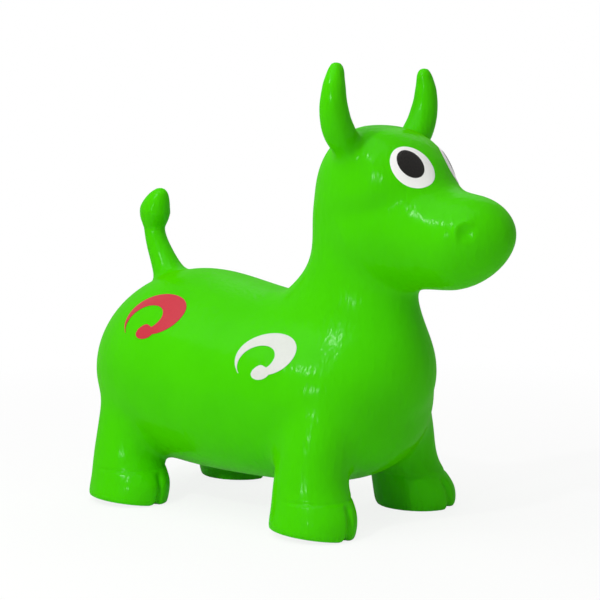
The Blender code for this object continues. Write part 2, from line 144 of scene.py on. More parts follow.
barrel_rings = []
for k in range(BARREL_RINGS + 1):
    reach = -BARREL_END_SHARE * math.cos(math.pi * k / BARREL_RINGS)
    shrink = domed(abs(reach), BARREL_END_POWER)
    top = through(BACK_HEIGHTS, (reach + 1) / 2)
    wide = through(BARREL_WIDTHS, (reach + 1) / 2)
    place = (BARREL_MIDDLE + reach * BARREL_LENGTH / 2, 0, (top + BELLY_HEIGHT) / 2)
    barrel_rings.append((place, wide / 2 * shrink, (top - BELLY_HEIGHT) / 2 * shrink))
skin = drawn_out("body", barrel_rings, upright=False)

# The neck and skull of the skin.
# One upright form with a wide foot in the body, a slim throat, a domed crown and a narrow forehead, so the
# eyes look well to the sides. A ring is its X, its height and its half sizes.
NECK_RINGS = (
    (0.0300, 0.085, 0.085, 0.070),
    (0.0430, 0.125, 0.114, 0.096),
    (0.0500, 0.160, 0.1200, 0.098),
    (0.0535, 0.195, 0.1160, 0.088),
    (0.0575, 0.225, 0.1000, 0.069),
    (0.0595, 0.250, 0.0895, 0.060),
    (0.0755, 0.275, 0.0683, 0.0555),
    (0.0820, 0.300, 0.0597, 0.0532),
    (0.0870, 0.325, 0.0642, 0.0565),
    (0.0985, 0.345, 0.0755, 0.0625),
)
SKULL_MIDDLE = (0.1045, 0.364)
SKULL_LEAN = 0.009
SKULL_HALF_LENGTH = 0.0862
SKULL_HALF_WIDTH = 0.0695
CROWN_RISE = 0.081
CROWN_POWERS = (2.0, 3.2)
CROWN_RINGS = 6
TIP_SHARE = 0.998


def dome_steps(count):
    """How far up a dome its rings lie, closer together towards the tip."""
    return [TIP_SHARE * math.sin(math.pi / 2 * k / count) for k in range(count + 1)]


neck_rings = [((x, 0, z), long, wide) for x, z, long, wide in NECK_RINGS]
for f in dome_steps(CROWN_RINGS):
    along, across = (domed(f, power) for power in CROWN_POWERS)
    place = (SKULL_MIDDLE[0] + SKULL_LEAN * along, 0, SKULL_MIDDLE[1] + CROWN_RISE * f)
    neck_rings.append((place, SKULL_HALF_LENGTH * along, SKULL_HALF_WIDTH * across))
forms = [drawn_out("neck_and_skull", neck_rings, upright=True)]

# The muzzle of the skin.
# It lies along X, deep at the jaw where it grows out of the skull, and tapers to a blunt nose. A ring is
# its X, its height and its half width and depth.
MUZZLE_RINGS = (
    (0.0705, 0.334, 0.0630, 0.0690),
    (0.1105, 0.331, 0.0665, 0.0670),
    (0.1405, 0.3285, 0.0640, 0.0645),
    (0.1705, 0.3300, 0.0580, 0.0655),
    (0.1875, 0.3270, 0.0565, 0.0615),
)
NOSE_FRONT = 0.2755
NOSE_ROUNDING = 0.072
NOSE_POWER = 1.8
NOSE_MIDDLE = 0.3192
NOSE_LIFT = 0.0095
NOSE_HALF_WIDTH = 0.0555
NOSE_HALF_DEPTH = 0.0547
NOSE_RINGS = 6

muzzle_rings = [((x, 0, z), wide, deep) for x, z, wide, deep in MUZZLE_RINGS]
for f in dome_steps(NOSE_RINGS):
    shrink = domed(f, NOSE_POWER)
    place = (NOSE_FRONT + NOSE_ROUNDING * (f - 1), 0, NOSE_MIDDLE + NOSE_LIFT * f)
    muzzle_rings.append((place, NOSE_HALF_WIDTH * shrink, NOSE_HALF_DEPTH * shrink))
forms.append(drawn_out("muzzle", muzzle_rings, upright=False))

# The legs of the skin.
# Four short posts that lean in as they rise, each on a hoof that reaches forward. The front ones widen a
# little towards the chest. A ring is its height, its shift ahead and its half length and width.
LEG_AHEAD = (0.0745, -0.2035)
LEG_ASIDE = 0.101
LEG_LEAN = 0.22
LEG_WIDENING = (0.003, 0.0)
LEG_WIDENING_START = 0.055
LEG_WIDENING_RISE = 0.050
LEG_RINGS = (
    (0.000, 0.0120, 0.0485, 0.0420),
    (0.004, 0.0125, 0.0500, 0.0432),
    (0.013, 0.0130, 0.0517, 0.0432),
    (0.026, 0.0132, 0.0522, 0.0428),
    (0.038, 0.0085, 0.0482, 0.0414),
    (0.055, 0.000, 0.0415, 0.0405),
    (0.080, 0.001, 0.0415, 0.0412),
    (0.105, 0.000, 0.0405, 0.0412),
    (0.130, -0.001, 0.0380, 0.0390),
    (0.150, -0.002, 0.0280, 0.0280),
)
leg_places = [(x, side * LEG_ASIDE) for x in LEG_AHEAD for side in (-1, 1)]
for x, y in leg_places:
    lean = math.copysign(LEG_LEAN, y)
    widening = LEG_WIDENING[LEG_AHEAD.index(x)]
    leg_rings = []
    for z, ahead, long, wide in LEG_RINGS:
        more = widening * min(max((z - LEG_WIDENING_START) / LEG_WIDENING_RISE, 0), 1)
        leg_rings.append(((x + ahead + more, y - lean * z, z), long + more, wide))
    forms.append(drawn_out("leg", leg_rings, upright=True))

# The horns and the tail of the skin.
# Tubes bent along a line, where each point is its offset from the root and its radius. The horns curve out
# and then in, as grips for the hands, and the tail is a stem with a tuft like a drop.
HORN_ROOT = (0.0995, 0.0530, 0.410)
HORN_LINE = (
    (0.000, -0.018, -0.018, 0.0175),
    (0.003, -0.003, 0.003, 0.0172),
    (0.004, 0.0195, 0.024, 0.0182),
    (0.0055, 0.032, 0.048, 0.0163),
    (0.007, 0.034, 0.074, 0.0130),
    (0.007, 0.030, 0.092, 0.0092),
    (0.007, 0.0285, 0.097, 0.0070),
    (0.007, 0.0275, 0.0995, 0.0036),
)
TAIL_ROOT = (-0.2115, 0.0, 0.265)
TAIL_LINE = (
    (0.010, 0.0, -0.022, 0.0260),
    (-0.004, 0.0, 0.002, 0.0205),
    (-0.0140, 0.0, 0.020, 0.0165),
    (-0.0235, 0.0, 0.040, 0.0138),
    (-0.0272, 0.0, 0.055, 0.0130),
    (-0.0268, 0.0, 0.066, 0.0178),
    (-0.0254, 0.0, 0.077, 0.0200),
    (-0.0195, 0.0, 0.090, 0.0155),
    (-0.0140, 0.0, 0.099, 0.0100),
    (-0.0110, 0.0, 0.1035, 0.0045),
)
TUBE_ROUNDING = 6
TUBE_STEPS = 10


def bent_tube(name, root, line, side=1):
    """A tube along a smooth line, with closed ends."""
    tube = added(bpy.ops.curve.primitive_bezier_curve_add, name)
    shape = tube.data
    shape.dimensions = "3D"
    shape.bevel_depth = 1.0
    shape.bevel_resolution = TUBE_ROUNDING
    shape.resolution_u = TUBE_STEPS
    shape.use_fill_caps = True
    points = shape.splines[0].bezier_points
    points.add(len(line) - len(points))
    for point, (x, y, z, radius) in zip(points, line):
        point.co = (root[0] + x, side * (root[1] + y), root[2] + z)
        point.handle_left_type = point.handle_right_type = "AUTO"
        point.radius = radius
    bpy.ops.object.convert(target="MESH")
    return bpy.context.object


forms.append(bent_tube("horn", HORN_ROOT, HORN_LINE, -1))
forms.append(bent_tube("horn", HORN_ROOT, HORN_LINE, 1))
forms.append(bent_tube("tail_form", TAIL_ROOT, TAIL_LINE))

# The skin as one sheet.
# All forms are fused, and the hollows between them are filled out, as air fills them in the blown-up toy.
# Then the whole sheet is evened out, but little of it at the feet, horns and tail, which keep their shape.
VOXEL = 0.0031
NECK_HOLLOW = ((0.0755, 0, 0.225), (0.20, 0.17, 0.16))
BROW_HOLLOW = ((0.1745, 0, 0.376), (0.085, 0.09, 0.075))
LEG_HOLLOW_ASIDE = 0.8
LEG_HOLLOW_HEIGHT = 0.085
LEG_HOLLOW_REACH = (0.11, 0.11, 0.075)
CHEST_HOLLOW_AHEAD = 0.050
CHEST_HOLLOW_ASIDE = 0.7
CHEST_HOLLOW_HEIGHT = 0.100
CHEST_HOLLOW_REACH = (0.10, 0.10, 0.11)
HOLLOW_ROUNDS = 150
TAIL_ROOT_REACH = (0.05, 0.05, 0.05)
HORN_ROOT_REACH = (0.045, 0.045, 0.045)
ROOT_ROUNDS = 44
SPOT_GAIN = 1.6
LEAST_WEIGHT = 0.01
ROUND_SHARE = 0.5
EVEN_ROUNDS = 26
FEET_END = 0.020
FEET_FADE = 0.030
FEET_SHARE = 0.10
TAIL_AHEAD = -0.1995
TAIL_ABOVE = 0.27
HORNS_ABOVE = 0.420
LIMB_FADE = 0.020
LIMB_HOLD = 0.7

only(skin, *forms)
bpy.ops.object.join()
finished(skin, "REMESH", mode="VOXEL", voxel_size=VOXEL, use_smooth_shade=True)


def points_of(piece):
    """The piece's points as an array."""
    flat = np.zeros(len(piece.data.vertices) * 3)
    piece.data.vertices.foreach_get("co", flat)
    return flat.reshape(-1, 3)


def rise(values):
    """A smooth step from 0 to 1 as the values go from 0 to 1."""
    f = np.clip(values, 0, 1)
    return f * f * (3 - 2 * f)


def near(points, centre, reach):
    """1 at the centre, falling smoothly to 0 at the reach."""
    return rise(1 - np.linalg.norm((points - np.array(centre)) / np.array(reach), axis=1))


def around(piece, spots):
    """Weights for the piece's points: full about these spots, each a centre and a reach, or else none."""
    points = points_of(piece)
    return np.clip(np.max([near(points, *spot) for spot in spots], axis=0) * SPOT_GAIN, 0, 1)


def on_side(place, side):
    """The place as it is for side 1, or its mirror image for side -1."""
    return (place[0], side * place[1], place[2])


def softened(piece, weights, rounds):
    """Smooths the piece where the weights say."""
    group = piece.vertex_groups.new(name="soft")
    for index in np.nonzero(weights > LEAST_WEIGHT)[0]:
        group.add([int(index)], float(weights[index]), "REPLACE")
    finished(piece, "SMOOTH", factor=ROUND_SHARE, iterations=rounds, vertex_group="soft")
    piece.vertex_groups.clear()


hollows = [NECK_HOLLOW, BROW_HOLLOW]
for x, y in leg_places:
    hollows.append(((x, y * LEG_HOLLOW_ASIDE, LEG_HOLLOW_HEIGHT), LEG_HOLLOW_REACH))
    if x > 0:
        middle = (x + CHEST_HOLLOW_AHEAD, y * CHEST_HOLLOW_ASIDE, CHEST_HOLLOW_HEIGHT)
        hollows.append((middle, CHEST_HOLLOW_REACH))
softened(skin, around(skin, hollows), HOLLOW_ROUNDS)
roots = [(TAIL_ROOT, TAIL_ROOT_REACH)]
for side in (-1, 1):
    roots.append((on_side(HORN_ROOT, side), HORN_ROOT_REACH))
softened(skin, around(skin, roots), ROOT_ROUNDS)
ahead, aside, up = points_of(skin).T
of_tail = rise((TAIL_AHEAD - ahead) / LIMB_FADE) * (up > TAIL_ABOVE)
limbs = np.maximum(rise((up - HORNS_ABOVE) / LIMB_FADE), of_tail)
above_feet = FEET_SHARE + (1 - FEET_SHARE) * rise((up - FEET_END) / FEET_FADE)
softened(skin, above_feet * (1 - LIMB_HOLD * limbs), EVEN_ROUNDS)

# What the mould pressed into the skin: hooves, nostrils and the seat of the valve.
# Each hoof has a crease round its front, a cleft between two toes and a sole that lifts on its outer side.
# Each nostril is a dimple under a raised arc. A flat boss in the belly takes the stopper in a stepped bore.
FOOT_TOP = 0.047
FOOT_REACH = 0.064
HOOF_REACH = (0.075, 0.060, 0.06)
SOLE_LIFT = 0.0058
HEEL_LIFT = 0.0020
SOLE_SPAN = 0.045
SOLE_TOP = 0.034
CREASE_HEIGHT = 0.041
CREASE_DEPTH = 0.0009
CREASE_WIDTH = 0.0020
CREASE_START = -0.015
CREASE_FADE = 0.030
CLEFT_DEPTH = 0.0044
CLEFT_WIDTH = 0.0046
CLEFT_START = 0.020
CLEFT_FADE = 0.022
CLEFT_RISE = 0.010
NOSTRIL_PLACE = (0.2440, 0.0425, 0.3315)
NOSTRIL_SIZE = 0.0115
NOSTRIL_DEPTH = 0.0030
NOSTRIL_LIP_HEIGHT = 0.0020
NOSTRIL_LIP_WIDTH = 0.0030
NOSTRIL_LIP_SHARE = 0.2
NOSTRIL_LIP_SIDE = np.array((-0.80, 0.0, 0.60))
VALVE_AHEAD = -0.0825
BOSS_RADIUS = 0.0150
BOSS_HEIGHT = 0.0332
BOSS_FADE = 0.003
BELLY_TOP = 0.08
RECESS_RADIUS = 0.0113
RECESS_TOP = 0.0358
BORE_RADIUS = 0.0066
BORE_TOP = 0.0510
BORE_SIDES = 64
SKIN_ANGLE = math.radians(50)


def face_centres(piece):
    """The middles of the piece's faces as an array."""
    flat = np.zeros(len(piece.data.polygons) * 3)
    piece.data.polygons.foreach_get("center", flat)
    return flat.reshape(-1, 3)


def edit_faces(piece, chosen):
    """Goes into edit mode with these faces of the piece selected and nothing else."""
    only(piece)
    bpy.ops.object.mode_set(mode="EDIT")
    bpy.ops.mesh.select_mode(type="FACE")
    bpy.ops.mesh.select_all(action="DESELECT")
    bpy.ops.object.mode_set(mode="OBJECT")
    piece.data.polygons.foreach_set("select", chosen)
    bpy.ops.object.mode_set(mode="EDIT")


def placed(piece, points):
    """Moves the piece's points to these places."""
    piece.data.vertices.foreach_set("co", points.ravel())
    piece.data.update()


def pressed(piece, heights):
    """Moves each point of the piece along its normal, outwards for a positive height."""
    normals = np.zeros(len(piece.data.vertices) * 3)
    piece.data.vertex_normals.foreach_get("vector", normals)
    placed(piece, points_of(piece) + normals.reshape(-1, 3) * heights[:, None])


def on_hoof(points, x, y):
    """How far each point lies ahead of the foot and outward of its middle, and if it is of the hoof."""
    ahead = points[:, 0] - x
    aside = np.sign(y) * (points[:, 1] - y) + LEG_LEAN * points[:, 2]
    long, wide, high = HOOF_REACH
    return ahead, aside, (np.abs(ahead) < long) & (np.abs(aside) < wide) & (points[:, 2] < high)


centres = face_centres(skin)
of_feet = np.zeros(len(centres), dtype=bool)
for x, y in leg_places:
    of_feet |= (np.hypot(centres[:, 0] - x, centres[:, 1] - y) < FOOT_REACH) & (centres[:, 2] < FOOT_TOP)
edit_faces(skin, of_feet)
bpy.ops.mesh.subdivide(number_cuts=1, smoothness=0.0)
bpy.ops.object.mode_set(mode="OBJECT")

points = points_of(skin)
up = points[:, 2]
heights = np.zeros(len(points))
for x, y in leg_places:
    ahead, aside, here = on_hoof(points, x, y)
    crease = np.exp(-(((up - CREASE_HEIGHT) / CREASE_WIDTH) ** 2))
    crease *= rise((ahead - CREASE_START) / CREASE_FADE)
    cleft = np.exp(-((aside / CLEFT_WIDTH) ** 2)) * rise((ahead - CLEFT_START) / CLEFT_FADE)
    cleft *= rise((CREASE_HEIGHT - up) / CLEFT_RISE)
    heights -= here * (CREASE_DEPTH * crease + CLEFT_DEPTH * cleft)
for side in (-1, 1):
    dimple = on_side(NOSTRIL_PLACE, side)
    offset = points - np.array(dimple)
    off_lip = (np.linalg.norm(offset, axis=1) - NOSTRIL_SIZE) / NOSTRIL_LIP_WIDTH
    lip = np.exp(-(off_lip**2)) * rise(NOSTRIL_LIP_SHARE + offset @ NOSTRIL_LIP_SIDE / NOSTRIL_SIZE)
    heights += NOSTRIL_LIP_HEIGHT * lip - NOSTRIL_DEPTH * near(points, dimple, (NOSTRIL_SIZE,) * 3)
pressed(skin, heights)

points = points_of(skin)
for x, y in leg_places:
    ahead, aside, here = on_hoof(points, x, y)
    lift = SOLE_LIFT * aside / SOLE_SPAN - HEEL_LIFT * ahead / SOLE_SPAN
    points[:, 2] += here * lift * rise((SOLE_TOP - points[:, 2]) / SOLE_TOP)
points[:, 2] = np.maximum(points[:, 2], 0)
from_valve = np.hypot(points[:, 0] - VALVE_AHEAD, points[:, 1])
on_boss = rise((BOSS_RADIUS + BOSS_FADE - from_valve) / BOSS_FADE) * (points[:, 2] < BELLY_TOP)
points[:, 2] += on_boss * (BOSS_HEIGHT - points[:, 2])
placed(skin, points)

bores = []
for radius, top in ((RECESS_RADIUS, RECESS_TOP), (BORE_RADIUS, BORE_TOP)):
    bores.append(added(
        bpy.ops.mesh.primitive_cylinder_add, "bore_tool", vertices=BORE_SIDES, radius=radius, depth=top,
        location=(VALVE_AHEAD, 0, top / 2),
    ))
    settled()
finished(bores[0], "BOOLEAN", operation="UNION", solver="EXACT", object=bores[1])
finished(skin, "BOOLEAN", operation="DIFFERENCE", solver="EXACT", object=bores[0])
for bore in bores:
    bpy.data.objects.remove(bore)
only(skin)
bpy.ops.object.shade_smooth_by_angle(angle=SKIN_ANGLE)

# The skin parted where it bends.
# The real sheet has no seams here. It is cut at the foot of the neck, the tail and the horns only so that
# each can bend, and each cut keeps the shading of the whole sheet, so it doesn't show.
NECK_CUT = (0.1455, 0.0, 0.235)
NECK_TURN = math.radians(20)
HEAD_REACH = 0.40
HORN_CUT = 0.008
HORN_RISE = (0.0, 0.576, 0.817)
HORN_BEND = 0.022
HORN_REACH = 0.12
TAIL_CUT = 0.014
TAIL_RISE = Vector((-0.447, 0.0, 0.894))
TAIL_REACH = 0.14
MOST_SIDES = 12


def parted(piece, name, point, direction, reach):
    """Cuts the piece by a plane, within a reach, and makes what lies beyond it a piece of its own."""
    offset = face_centres(piece) - np.array(point)
    edit_faces(piece, np.linalg.norm(offset, axis=1) < reach)
    bpy.ops.mesh.bisect(plane_co=point, plane_no=direction)
    bpy.ops.object.mode_set(mode="OBJECT")
    offset = face_centres(piece) - np.array(point)
    edit_faces(piece, (offset @ np.array(direction) > 0) & (np.linalg.norm(offset, axis=1) < reach))
    bpy.ops.mesh.separate(type="SELECTED")
    bpy.ops.object.mode_set(mode="OBJECT")
    new = next(other for other in bpy.context.selected_objects if other != piece)
    new.name = name
    return new


def capped(piece):
    """Closes the piece where it was cut, and shades it up to the cut as the whole skin was shaded."""
    only(piece)
    bpy.ops.object.mode_set(mode="EDIT")
    bpy.ops.mesh.select_all(action="SELECT")
    bpy.ops.mesh.fill_holes(sides=0)
    faced_outward()
    mesh = piece.data
    sides = np.zeros(len(mesh.polygons), dtype=np.int32)
    mesh.polygons.foreach_get("loop_total", sides)
    facing = np.zeros(len(mesh.polygons) * 3)
    mesh.polygons.foreach_get("normal", facing)
    corners = np.zeros(len(mesh.loops), dtype=np.int32)
    mesh.loops.foreach_get("vertex_index", corners)
    shading = np.zeros(len(mesh.loops) * 3)
    mesh.corner_normals.foreach_get("vector", shading)
    shading = shading.reshape(-1, 3)
    whole = np.zeros(len(mesh.vertices) * 3)
    mesh.attributes["whole"].data.foreach_get("vector", whole)
    whole = whole.reshape(-1, 3)
    of_cap = np.repeat(sides > MOST_SIDES, sides)
    on_cut = np.zeros(len(mesh.vertices), dtype=bool)
    on_cut[corners[of_cap]] = True
    beside = on_cut[corners] & ~of_cap
    shading[beside] = whole[corners[beside]]
    shading[of_cap] = np.repeat(facing.reshape(-1, 3), sides, axis=0)[of_cap]
    mesh.attributes.remove(mesh.attributes["whole"])
    mesh.normals_split_custom_set(shading / np.linalg.norm(shading, axis=1)[:, None])


normals = np.zeros(len(skin.data.vertices) * 3)
skin.data.vertex_normals.foreach_get("vector", normals)
skin.data.attributes.new("whole", "FLOAT_VECTOR", "POINT").data.foreach_set("vector", normals)

tail_cut = Vector(TAIL_ROOT) + TAIL_CUT * TAIL_RISE
tail = parted(skin, "tail_piece", tail_cut, TAIL_RISE, TAIL_REACH)
neck_rise = Vector((math.sin(NECK_TURN), 0.0, math.cos(NECK_TURN)))
head = parted(skin, "head_and_neck", NECK_CUT, neck_rise, HEAD_REACH)
horns = {}
for word, side in (("right", -1), ("left", 1)):
    rising = Vector(on_side(HORN_RISE, side))
    cut = Vector(on_side(HORN_ROOT, side)) + HORN_CUT * rising
    horn = parted(head, "horn_piece_" + word, cut, rising, HORN_REACH)
    horns[word] = (horn, cut, cut + HORN_BEND * rising)
skin_pieces = (skin, head, tail, horns["right"][0], horns["left"][0])
for piece in skin_pieces:
    capped(piece)


def linear(colour):
    """An sRGB hex colour as linear red, green, blue and alpha."""
    parts = [int(colour[k:k + 2], 16) / 255 for k in (1, 3, 5)]
    return [c / 12.92 if c <= 0.04045 else ((c + 0.055) / 1.055) ** 2.4 for c in parts] + [1.0]


def add_node(tree, kind, values=(), links=(), **settings):
    """Adds a node with its settings, its inputs' values and the outputs that its inputs are linked to."""
    node = tree.nodes.new(kind)
    for key, value in settings.items():
        setattr(node, key, value)
    for key, value in dict(values).items():
        node.inputs[key].default_value = value
    for key, (other, output) in dict(links).items():
        tree.links.new(other.outputs[output], node.inputs[key])
    return node


# Cast plasticised PVC from a polished mould gives the eye an even bright green under a thin clear gloss.
# Puckers in the blown-up sheet break each highlight into short streaks, and a trace of lime bloom lifts the
# rims, where light scatters in it. Its grain is drawn coarser than the real one, so that it shows.
PVC_GREEN = "#46CD00"
PVC_DEEP = "#3FC100"
PVC_BLOOM = "#D2FF00"
PVC_SOCKETS = {
    "IOR": 1.53, "Specular IOR Level": 0.0, "Coat IOR": 1.53, "Coat Weight": 0.09, "Coat Roughness": 0.18,
    "Sheen Weight": 0.07, "Sheen Roughness": 0.45, "Sheen Tint": linear(PVC_BLOOM),
}
PVC_ROUGHNESS = (0.26, 0.36)
CLOUD = 0.060
CLOUD_DETAIL = 2.0
PUCKER = 0.0060
PUCKER_DETAIL = 1.0
PUCKER_STRETCH = 0.30
PUCKER_TURN = 0.5
PUCKER_STRENGTH = 0.9
PUCKER_HEIGHT = 0.0008
GRAIN = 0.0016
GRAIN_DETAIL = 1.0
GRAIN_STRENGTH = 0.15
GRAIN_HEIGHT = 0.0002

# A Mix node's colour sockets go by number, because its sockets for other values have the same names.
MIX_FIRST = 6
MIX_SECOND = 7
MIX_RESULT = 2

pvc = bpy.data.materials.new("cast_pvc_green")
pvc.use_nodes = True
tree = pvc.node_tree
shader = tree.nodes["Principled BSDF"]
for socket, value in PVC_SOCKETS.items():
    shader.inputs[socket].default_value = value
where = add_node(tree, "ShaderNodeTexCoord")
clouds = add_node(
    tree, "ShaderNodeTexNoise", {"Scale": 1 / CLOUD, "Detail": CLOUD_DETAIL}, {"Vector": (where, "Object")}
)
greens = add_node(
    tree, "ShaderNodeMix", {MIX_FIRST: linear(PVC_DEEP), MIX_SECOND: linear(PVC_GREEN)},
    {0: (clouds, "Fac")}, data_type="RGBA",
)
stretch = add_node(
    tree, "ShaderNodeMapping", {"Rotation": (0.0, PUCKER_TURN, 0.0), "Scale": (1.0, 1.0, PUCKER_STRETCH)},
    {"Vector": (where, "Object")},
)
puckers = add_node(
    tree, "ShaderNodeTexNoise", {"Scale": 1 / PUCKER, "Detail": PUCKER_DETAIL},
    {"Vector": (stretch, "Vector")},
)
grain = add_node(
    tree, "ShaderNodeTexNoise", {"Scale": 1 / GRAIN, "Detail": GRAIN_DETAIL}, {"Vector": (where, "Object")}
)
waved = add_node(
    tree, "ShaderNodeBump", {"Strength": PUCKER_STRENGTH, "Distance": PUCKER_HEIGHT},
    {"Height": (puckers, "Fac")},
)
grained = add_node(
    tree, "ShaderNodeBump", {"Strength": GRAIN_STRENGTH, "Distance": GRAIN_HEIGHT},
    {"Height": (grain, "Fac"), "Normal": (waved, 0)},
)
gloss = add_node(
    tree, "ShaderNodeMapRange", {"To Min": PVC_ROUGHNESS[0], "To Max": PVC_ROUGHNESS[1]},
    {"Value": (clouds, "Fac")},
)
tree.links.new(greens.outputs[MIX_RESULT], shader.inputs["Base Color"])
tree.links.new(gloss.outputs[0], shader.inputs["Roughness"])
tree.links.new(grained.outputs[0], shader.inputs["Normal"])
tree.links.new(grained.outputs[0], shader.inputs["Coat Normal"])
for piece in skin_pieces:
    piece.data.materials.clear()
    piece.data.materials.append(pvc)
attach(skin, "torso")
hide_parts("torso_skin", "leg_front_right", "leg_front_left", "leg_hind_right", "leg_hind_left")
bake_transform(head)
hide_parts("head_skin")
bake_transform(tail)
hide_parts("tail")
for word, (horn, start, end) in horns.items():
    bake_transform(horn)
    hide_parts("horn_" + word)

# The eyes.
# Two films of ink on the brow, a white oval and on it a black pupil, sprayed through a stencil. Each is a
# disc that is dropped on the skin along its look and given the ink's thickness.
EYE_PLACE = Vector((0.1668, -0.0310, 0.3959))
EYE_LOOK = Vector((0.72, -0.57, 0.40)).normalized()
EYE_SIZES = (0.0265, 0.0215)
EYE_TILT = math.radians(-46)
PUPIL_TILT = math.radians(-55)
PUPIL_SHIFT = (-0.0024, 0.0032)
PUPIL_SIZES = (0.0172, 0.0128)
EYE_SIDES = 72
EYE_STEPS = 9
EYE_DROP = 0.03
INK_LIFT = 0.0002
INK_THICKNESS = 0.0004
EDGE_ANGLE = math.radians(40)


def laid_on(piece, target, lift):
    """Drops the piece along its own Z onto the target, settles it there and gives it the ink's thickness."""
    finished(
        piece, "SHRINKWRAP", target=target, wrap_method="PROJECT", wrap_mode="ABOVE_SURFACE",
        use_project_z=True, use_positive_direction=False, use_negative_direction=True, offset=lift,
    )
    settled()
    finished(piece, "SOLIDIFY", thickness=INK_THICKNESS, offset=1.0)
    bpy.ops.object.shade_smooth_by_angle(angle=EDGE_ANGLE)


def turned(look, tilt):
    """The turn that points Z along the look and X along a level line that is tilted about it."""
    level = Vector((0, 0, 1)).cross(look).normalized()
    upward = look.cross(level)
    long = math.cos(tilt) * level + math.sin(tilt) * upward
    return Matrix((long, look.cross(long), look)).transposed()


def ink_oval(name, place, look, tilt, sizes, lift):
    """An oval film of ink on the head."""
    oval = added(
        bpy.ops.mesh.primitive_circle_add, name, vertices=EYE_SIDES, radius=1, fill_type="NGON",
        location=place + EYE_DROP * look, rotation=turned(look, tilt).to_euler(),
    )
    oval.scale = (*sizes, 1)
    bpy.ops.object.transform_apply(location=False, rotation=False, scale=True)
    bpy.ops.object.mode_set(mode="EDIT")
    bpy.ops.mesh.select_all(action="SELECT")
    for k in range(EYE_STEPS, 0, -1):
        bpy.ops.mesh.extrude_region_move()
        bpy.ops.transform.resize(value=(k / (k + 1),) * 3, center_override=oval.location)
    bpy.ops.mesh.poke()
    bpy.ops.object.mode_set(mode="OBJECT")
    laid_on(oval, head, lift)
    return oval


# Screen ink for PVC gives the eye a thin even coat of plain colour, with a little less gloss than the skin
# and a faint mottle, which is drawn coarser than the real one, so that it shows.
INK_MOTTLE = 0.004
INK_MOTTLE_DETAIL = 3.0
INK_ROUGHNESS_DRIFT = 0.06
INK_BUMP_STRENGTH = 0.2
INK_BUMP_HEIGHT = 0.0002
INK_SOCKETS = {"IOR": 1.5, "Specular IOR Level": 0.2}


def ink(name, colour, worn, rough):
    """A coat of screen ink whose colour drifts towards a worn one."""
    coat = bpy.data.materials.new(name)
    coat.use_nodes = True
    tree = coat.node_tree
    shader = tree.nodes["Principled BSDF"]
    for socket, value in INK_SOCKETS.items():
        shader.inputs[socket].default_value = value
    where = add_node(tree, "ShaderNodeTexCoord")
    mottle = add_node(
        tree, "ShaderNodeTexNoise", {"Scale": 1 / INK_MOTTLE, "Detail": INK_MOTTLE_DETAIL},
        {"Vector": (where, "Object")},
    )
    colours = add_node(
        tree, "ShaderNodeMix", {MIX_FIRST: linear(colour), MIX_SECOND: linear(worn)},
        {0: (mottle, "Fac")}, data_type="RGBA",
    )
    gloss = add_node(
        tree, "ShaderNodeMapRange",
        {"To Min": rough - INK_ROUGHNESS_DRIFT, "To Max": rough + INK_ROUGHNESS_DRIFT},
        {"Value": (mottle, "Fac")},
    )
    uneven = add_node(
        tree, "ShaderNodeBump", {"Strength": INK_BUMP_STRENGTH, "Distance": INK_BUMP_HEIGHT},
        {"Height": (mottle, "Fac")},
    )
    tree.links.new(colours.outputs[MIX_RESULT], shader.inputs["Base Color"])
    tree.links.new(gloss.outputs[0], shader.inputs["Roughness"])
    tree.links.new(uneven.outputs[0], shader.inputs["Normal"])
    return coat


eye_ink = ink("screen_ink_bright_white", "#F7F5F3", "#EFEEEC", rough=0.36)
black_ink = ink("screen_ink_black", "#0D0B0A", "#151210", rough=0.28)
for word, side in (("right", 1), ("left", -1)):
    place = Vector(on_side(EYE_PLACE, side))
    look = Vector(on_side(EYE_LOOK, side))
    shift = turned(look, 0) @ Vector((side * PUPIL_SHIFT[0], PUPIL_SHIFT[1], 0))
    white = ink_oval("eye_oval_" + word, place, look, side * EYE_TILT, EYE_SIZES, INK_LIFT)
    pupil = ink_oval(
        "pupil_oval_" + word, place + shift, look, side * PUPIL_TILT, PUPIL_SIZES, INK_LIFT + INK_THICKNESS
    )
    for piece, coat, slot, node in (
        (white, eye_ink, "white_print", "eye_white_" + word),
        (pupil, black_ink, "black_print", "eye_pupil_" + word),
    ):
        piece.data.materials.append(coat)
        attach(piece, "head")
        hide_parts(node)

# The prints on hip and flank.
# Plain scrolls of ink, red on the hip and white on the flank, printed with one stencil on both sides. Each
# is a strip that is wound into a flat scroll with a ball at its inner end and dropped on the skin.
SCROLL_SIZES = {"hip": 0.078, "flank": 0.069}
SCROLL_SQUASH = 0.76
SCROLL_BAND = 0.370
SCROLL_BAND_LEAN = 1.1
SCROLL_BAND_POWER = 1.2
SCROLL_BALL = 0.305
SCROLL_BALL_REACH = 0.085
SCROLL_START = math.radians(200)
SCROLL_SWEEP = math.radians(335)
SCROLL_WIND = 0.40
SCROLL_TIP = 0.010
SCROLL_TILT = math.radians(20)
SCROLL_STEPS = 120
SCROLL_ROWS = 6
SCROLL_DROP = 0.04
HIP_PLACE = Vector((-0.1435, -0.1060, 0.2230))
HIP_LOOK = Vector((0.0, -0.80, 0.60)).normalized()
FLANK_PLACE = Vector((0.0225, -0.1010, 0.1880))
FLANK_LOOK = Vector((0.15, -0.85, 0.50)).normalized()


